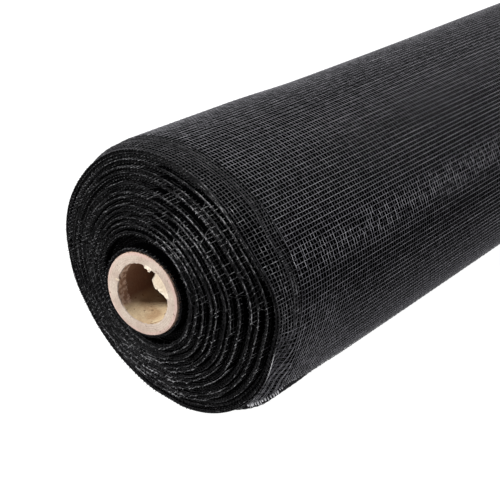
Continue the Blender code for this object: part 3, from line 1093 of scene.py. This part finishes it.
def makeLooseEnd():
    points, maps, frays = [], [], []

    def fromEdge(edge):
        arcs = np.linspace(0.0, 1.0, looseEnd["columns"])
        return edge + arcs * (roll["looseArc"] + 1.5 - edge)

    for along in np.linspace(0.0, 1.0, looseEnd["rows"]) ** 1.8:
        back = fromEdge(cutBack(roll["netWidth"] * along))
        for _ in range(4):
            x = ringPlace(along, back) + 0.1
            back = fromEdge(cutBack(x))
        angle = angleAt(back)
        radius = plyRadius(x, back) - looseEnd["under"]
        points.append(placeAbove(x, radius, angle, 0.8))
        maps.append(netCount(x, angle))
        frays.append(frayed(x, back))
    points, maps = np.concatenate(points), np.concatenate(maps)
    index = np.arange(len(points)).reshape(looseEnd["rows"], looseEnd["columns"])
    faces = (index[:-1, :-1], index[1:, :-1], index[1:, 1:], index[:-1, 1:])
    mesh = makeNetMesh("loose_end", points, np.stack(faces, axis=-1).reshape(-1, 4), maps)
    frays = np.concatenate(frays).astype(np.float32)
    mesh.attributes.new("fray", "FLOAT", "POINT").data.foreach_set("value", frays)
    faceOutwards(mesh, lambda polygon: True)
    piece = addObject("loose_end", mesh)
    wall = piece.modifiers.new("thickness", "SOLIDIFY")
    wall.thickness = looseEnd["thickness"] * mm
    wall.offset = -1.0
    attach(piece, "root")
    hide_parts("net_loose_end")
    return piece


looseCloth = makeLooseEnd()

# The fringe of yarn ends at the cut edge, with tufts, and teeth at the corner
fringe = {
    "length": 0.7,
    "tuftLength": 1.0,
    "teeth": [
        0.5, 0.9, 1.35, 1.7, 2.15, 2.5, 2.85, 3.15, 3.5, 3.8, 4.15, 4.5, 4.8, 5.1, 5.5, 6.0, 6.6,
        7.4, 8.4, 9.3, 10.6, 11.5, 12.6, 14.0, 15.6, 16.7, 18.9, 20.3, 22.4,
    ],  # x
    "toothLength": (0.6, 1.35),  # onwards, outwards
    "toothShape": (1.4, 2.4, 2.1, 0.9),
    "toothGlint": (0.4, 0.8, 0.8, 0.5),
    "selvedge": {"x": 0.15, "backs": (20.0, 42.0)},
    "tufts": np.cumsum(np.random.default_rng(4).uniform(4.5, 9.0, 90)),  # along the roll
    "yarnRadius": 0.15,
    "weaveHeight": 0.0,
    "seed": 21,
}


def makeFringe():
    rings = ply["rings"]
    random = np.random.default_rng(fringe["seed"])
    steps = np.linspace(0.0, 1.0, 4)
    share = np.arange(rings) / (rings - 1.0)
    x = ringPlace(share, np.zeros(rings))
    for _ in range(4):
        x = ringPlace(share, cutBack(x))
    inCorner = 1.0 - rise(x, 22.0, 8.0)
    tuft = np.exp(-((x[:, None] - fringe["tufts"]) / 0.5) ** 2).max(axis=1) * (1.0 - inCorner)
    length = fringe["length"] * (1.0 + random.uniform(-0.4, 0.4, rings))
    length = (length + fringe["tuftLength"] * tuft) * (1.0 - 0.6 * inCorner)
    angle = angleAt(cutBack(x))
    over = mm * (length[:, None] * steps)[..., None]
    lean = onwards(angle) - 0.12 * radial(angle)
    points = plyPoint(x, cutBack(x))[:, None, :] + over * lean[:, None, :]
    points[..., 0] += random.normal(0.0, 0.2, rings)[:, None] * over[..., 0]
    points[..., 2] = np.maximum(points[..., 2], 0.0002)
    taper = np.array((1.0, 0.95, 0.8, 0.5)) * (1.0 + 0.4 * tuft)[:, None]
    glint = random.normal(-0.1, 0.2, (rings, 4)) + tuft[:, None] * (0.1 + 0.5 * steps)
    lines = Lines()
    lines.addGrid(points, angle[:, None], 0.0, taper, np.clip(glint, 0.0, 1.0))

    x = np.array(fringe["teeth"])
    inCorner = 1.0 - rise(x, 4.0, 3.0)
    back = cutBack(x) + inCorner
    angle = angleAt(back)
    onward, outward = fringe["toothLength"]
    size = random.uniform(0.65, 1.35, x.shape)[:, None] * (steps - 0.2)
    lean = onward * onwards(angle) + (outward * (0.1 + 0.9 * inCorner))[:, None] * radial(angle)
    points = plyPoint(x, back)[:, None, :] + mm * size[..., None] * lean[:, None, :]
    taper = np.array(fringe["toothShape"]) * random.uniform(0.6, 1.3, x.shape)[:, None]
    bright = random.uniform(0.6, 1.1, x.shape) * (0.3 + 0.7 * inCorner)
    lines.addGrid(points, angle[:, None], 0.0, taper, fringe["toothGlint"] * bright[:, None])

    back = np.linspace(*fringe["selvedge"]["backs"], 22)
    angle = angleAt(back)
    points = place(fringe["selvedge"]["x"], rimRadius(angle) + 0.12, angle)
    arch = np.sin(math.pi * np.linspace(0.0, 1.0, 22))
    glint = arch ** 2 * random.uniform(0.2, 0.95, back.shape)
    lines.addGrid(points, angle, 0.0, 0.4 + 0.4 * arch, glint)
    return makeNetPiece("loose_end_fringe", lines, fringe, yarns["cut yarn ends"], sides=4)


fringePiece = makeFringe()
print("loose end made")


# The core: a wound paper tube, cut a little aslant, with torn paper bent into its bore
core = {
    "outer": 15.1,
    "inner": 11.1,
    "near": -9.95,
    "length": 616.0,
    "slant": (-0.141, 0.074),  # across, up
    "slantLength": 30.0,
    "columns": 360,
    # edge of the torn paper: angle, radius
    "torn": [
        (0, 10.5), (12, 10.3), (22, 10.6), (34, 10.4), (45, 10.8), (56, 11.0), (93, 11.1),
        (95, 10.7), (98, 10.0), (101, 10.2), (104, 10.1), (106, 9.5), (109, 9.7), (111, 10.9),
        (116, 11.0), (121, 10.9), (122, 9.9), (123, 8.1), (127, 7.6), (130, 7.5), (135, 7.1),
        (141, 6.95), (147, 7.0), (150, 7.8), (154, 8.0), (158, 8.25), (161, 8.9), (165, 9.6),
        (169, 10.3), (173, 10.8), (182, 11.0), (200, 10.9), (228, 11.1), (262, 10.9), (300, 11.0),
        (335, 10.9), (360, 10.5),
    ],
    "ragged": 0.26,
    "roughRim": 0.12,
    "seed": 8,
}
# Raw paper: two tones of each paper, its specks and roughness, then the marks that only some have:
# stains, and in the bore a painted shadow over the upper wall, painted shade deep inside and peeled
# paper drawn paler as painted light, with the radius, height, depth or side at which each starts
# and is full, in metres
paperLooks = {
    "core outside paper": {
        "tones": ((0.30, 0.19, 0.14), (0.36, 0.24, 0.18)), "speck": (0.15, 0.09, 0.06),
        "roughness": 0.8,
    },
    "core cut end": {
        "tones": ((0.31, 0.245, 0.20), (0.38, 0.32, 0.265)), "speck": (0.12, 0.08, 0.055),
        "roughness": 0.85, "plies": 1450.0, "outerPly": (0.39, 0.275, 0.24),
        "outerPlyRadius": (0.01375, 0.0142),
    },
    "core bore paper": {
        "tones": ((0.34, 0.225, 0.125), (0.48, 0.37, 0.23)), "speck": (0.12, 0.06, 0.03),
        "roughness": 0.85,
        "paintedShadow": (0.15, 0.062, 0.033), "paintedShadowHeight": (-0.0082, -0.0052),
        "deepShade": (0.05, 0.020, 0.010), "deepShadeDepth": (0.013, 0.022),
        "peeledAndPaintedLight": ((0.33, 0.19, 0.12), (0.72, 0.53, 0.40)), "peeledDepth": (0.0040, 0.0048),
        "peeledSide": (0.0052, 0.0070),
        "seam": (0.08, 0.035, 0.018), "seamPitch": 0.095, "seamWidth": 0.014,
    },
    "torn paper": {
        "tones": ((0.43, 0.355, 0.265), (0.54, 0.475, 0.385)), "speck": (0.21, 0.125, 0.075),
        "roughness": 0.9,
    },
}
paperGrain = ((0.80, 0.79, 0.78), (1.0, 1.0, 1.0))


def makePaper(name, look):
    finish = Finish(name, {"Specular IOR Level": 0.2})
    patches = finish.spots(170.0, 4.0, 0.35, 0.65)
    fibres = finish.noise(1500.0, 3.0, roughness=0.65)
    colour, height = finish.blend(patches, *look["tones"]), fibres
    seat, (across, up) = roll["seat"], roll["coreSeat"]
    start = (seat[0] + core["near"]) * mm
    x, y, z = finish.parts(finish.spot())
    y, z = y - (seat[1] + across) * mm, z - (seat[2] + up) * mm
    if "plies" in look:
        distance = (y * y + z * z) ** 0.5
        plies = ((distance * look["plies"] + 0.35 * fibres).fract() - 0.5).size()
        plies = finish.span(plies, 0.0, 0.22, 1.0, 0.0)
        colour = finish.blend(0.35 * plies, colour, tuple(0.72 * part for part in look["tones"][0]))
        height = height - 0.5 * plies
        outerPly = finish.span(distance, *look["outerPlyRadius"])
        outerPly = outerPly * finish.spots(90.0, 2.0, 0.3, 0.7, 0.2, 0.9)
        colour = finish.blend(outerPly, colour, look["outerPly"])
    if "seam" in look:
        across, up = core["slant"]
        depth = x - start - across * y - up * z
        # painted shadow: the bore's upper wall darker brown above a height
        paintedShadow = finish.span(z + 0.003 * (fibres - 0.5), *look["paintedShadowHeight"])
        colour = finish.blend(0.9 * paintedShadow, colour, look["paintedShadow"])
        # painted shade: darker deep inside the bore
        deepShade = finish.span(depth, *look["deepShadeDepth"])
        colour = finish.blend(0.85 * deepShade, colour, look["deepShade"])
        # peeled paper, a lighter pink; its pale tone is also painted light where this wall lies in
        # shade
        peeledAndPaintedLight = finish.span(depth + 0.004 * (fibres - 0.5), *look["peeledDepth"], 1.0, 0.0)
        peeledAndPaintedLight = peeledAndPaintedLight * finish.span(y + 0.3 * z, *look["peeledSide"])
        torn = finish.blend(finish.spots(700.0, 3.0, 0.4, 0.6), *look["peeledAndPaintedLight"])
        colour = finish.blend(0.8 * peeledAndPaintedLight, colour, torn)
        turn = finish.node("ShaderNodeMath", {"operation": "ARCTAN2"}, {0: z, 1: y}) / math.tau
        turn = (turn + x / look["seamPitch"]).fract()
        seam = finish.span((turn - 0.47).size(), 0.0, look["seamWidth"], 1.0, 0.0)
        colour = finish.blend(0.75 * seam, colour, look["seam"])
        height = height - 1.5 * seam
    specks = finish.spots(900.0, 1.0, 0.70, 0.76).larger(finish.spots(430.0, 2.0, 0.69, 0.73))
    colour = finish.blend(specks * 0.7, colour, look["speck"])
    grain = finish.blend(finish.span(fibres, 0.3, 0.7), *paperGrain)
    colour = finish.blend(1.0, colour, grain, kind="MULTIPLY")
    return finish.finish(colour, look["roughness"] + 0.08 * patches, height, 0.00015, 0.6)


def makeCore():
    columns, seed = core["columns"], core["seed"]
    angle = np.linspace(0.0, 360.0, columns, endpoint=False)
    number = np.arange(columns)
    closing = np.clip(np.minimum(number, columns - 1 - number) / 8.0, 0.0, 1.0)
    ragged = (wave(seed, columns, 90, 1.0) + 0.6 * wave(seed + 1, columns, 170, 1.0)) * closing
    rim = core["roughRim"] * wave(seed + 2, columns, 40, 1.0) * closing
    near, far = core["near"], core["near"] + core["length"]
    outer, inner = core["outer"], core["inner"]
    torn = inner - byAngle(angle, core["torn"])
    tearing = np.clip(torn / 1.2, 0.0, 1.0)
    tornRadius = inner - torn - core["ragged"] * ragged * (0.35 + 0.65 * tearing)
    outside, cutEnd, bore, tornPaper = range(4)
    # profile rows: x, radius, the paper of the faces that follow the row
    rows = [
        (far - 0.3, outer, cutEnd),
        (far, outer - 0.3, cutEnd),
        (far, inner + 0.2, bore),
        (far - 0.3, inner, bore),
        (300.0, inner, bore),
        (near + 40.0, inner, bore),
        (near + 12.0, inner, bore),
        (near + 4.5, inner, bore),
        (near + 2.6, inner - 0.10 * torn, bore),
        (near + 1.4, inner - 0.45 * torn, bore),
        (near + 0.75, 0.30 * inner + 0.70 * tornRadius, bore),
        (near + 0.35 + 0.15 * ragged * tearing, tornRadius + 0.03, tornPaper),
        (near + 0.02 + 0.25 * tearing * ragged, tornRadius + 0.12, tornPaper),
        (near - 0.02 + 0.12 * rim, 0.5 * (tornRadius + inner) + 0.25, tornPaper),
        (near + 0.3 * rim, inner + 0.55, cutEnd),
        (near + 0.5 * rim, 0.5 * (inner + outer), cutEnd),
        (near + 0.4 * rim, outer - 0.45, cutEnd),
        (near + 0.08 + 0.3 * rim, outer - 0.12 + 0.3 * rim, outside),
        (near + 0.4, outer, outside),
        (near + 3.0, outer, outside),
        (300.0, outer, outside),
    ]
    loops = []
    for x, radius, _ in rows:
        x, radius, _ = np.broadcast_arrays(x, radius, angle)
        across, up = core["slant"]
        lean = across * radius * np.cos(np.radians(angle)) + up * radius * np.sin(np.radians(angle))
        fade = np.clip((core["slantLength"] - x + near) / core["slantLength"], 0.0, 1.0)
        loops.append(place(x + np.where(x < 0.0, lean * fade, 0.0), radius, angle, 1.0))
    faces = ringFaces(len(rows), columns)
    mesh = bpy.data.meshes.new("core")
    mesh.from_pydata(np.concatenate(loops).tolist(), [], faces.tolist())
    for name, look in paperLooks.items():
        mesh.materials.append(makePaper(name, look))
    papers = np.repeat([[row[2]] for row in rows], columns, axis=1)
    papers = np.where((papers == tornPaper) & (torn < 0.75), cutEnd, papers)
    mesh.polygons.foreach_set("material_index", papers.astype(np.int32).ravel())
    mesh.update()
    faceOutwards(mesh, lambda polygon: polygon.material_index == outside)
    mesh.shade_smooth()
    mesh.set_sharp_from_angle(angle=math.radians(38.0))
    piece = addObject("core", mesh)
    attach(piece, "root")
    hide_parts("core_tube")
    print("core", 2 * len(faces), "triangles")


makeCore()


# Floor, light and camera
studio = {
    "floorSize": 40.0,
    "floorColour": (0.12, 0.12, 0.12),
    "floorGlow": 1.0,
    "skyColour": (0.87, 0.84, 1.0),
    "skyStrength": 0.25,
    "lights": [
        # name, place, aimed at, size, watts, colour
        ("key soft box", (-1.167, 0.514, 0.873), (-0.25, 0.0, 0.05), 0.25, 38.0, (1.0, 1.0, 1.0)),
        ("top soft box", (0.1, -0.25, 1.4), (0.0, 0.0, 0.05), 0.7, 14.0, (1.0, 1.0, 1.0)),
        ("low front soft box", (0.25, -1.1, 0.2), (0.05, 0.0, 0.03), 0.8, 5.0, (0.92, 0.88, 1.0)),
    ],
    "camera": (-502.653, -226.363, 225.595),
    "forward": (0.652495, 0.591951, -0.473122),
    "right": (0.671910, -0.740633, 0.0),
    "lens": 73.46,
}


def makeStudio():
    scene = bpy.context.scene
    scene.world = bpy.data.worlds.new("studio")
    scene.world.use_nodes = True
    sky = scene.world.node_tree.nodes["Background"].inputs
    sky["Color"].default_value = (*studio["skyColour"], 1.0)
    sky["Strength"].default_value = studio["skyStrength"]
    half = studio["floorSize"] / 2.0
    corners = [(-half, -half, 0.0), (half, -half, 0.0), (half, half, 0.0), (-half, half, 0.0)]
    mesh = bpy.data.meshes.new("floor")
    mesh.from_pydata(corners, [], [(0, 1, 2, 3)])
    white = Finish("white floor", {
        "Base Color": (*studio["floorColour"], 1.0), "Roughness": 0.9, "Specular IOR Level": 0.1,
        "Emission Color": (1.0, 1.0, 1.0, 1.0), "Emission Strength": studio["floorGlow"],
    })
    mesh.materials.append(white.material)
    floor = addObject("floor", mesh)
    for name, spot, target, size, watts, colour in studio["lights"]:
        lamp = bpy.data.lights.new(name, "AREA")
        lamp.shape = "SQUARE"
        lamp.size, lamp.energy, lamp.color = size, watts, colour
        holder = addObject(name, lamp)
        holder.location = spot
        aim = Vector(target) - Vector(spot)
        holder.rotation_euler = aim.to_track_quat("-Z", "Y").to_euler()
    lens = bpy.data.cameras.new("camera")
    lens.lens, lens.sensor_width, lens.clip_start = studio["lens"], 36.0, 0.01
    camera = addObject("camera", lens)
    right = Vector(studio["right"]).normalized()
    forward = Vector(studio["forward"]).normalized()
    turn = Matrix((right, right.cross(forward), -forward)).transposed().to_4x4()
    camera.matrix_world = Matrix.Translation(Vector(studio["camera"]) * mm) @ turn
    scene.camera = camera
    scene.view_settings.view_transform = "Standard"


makeStudio()
print("studio made")
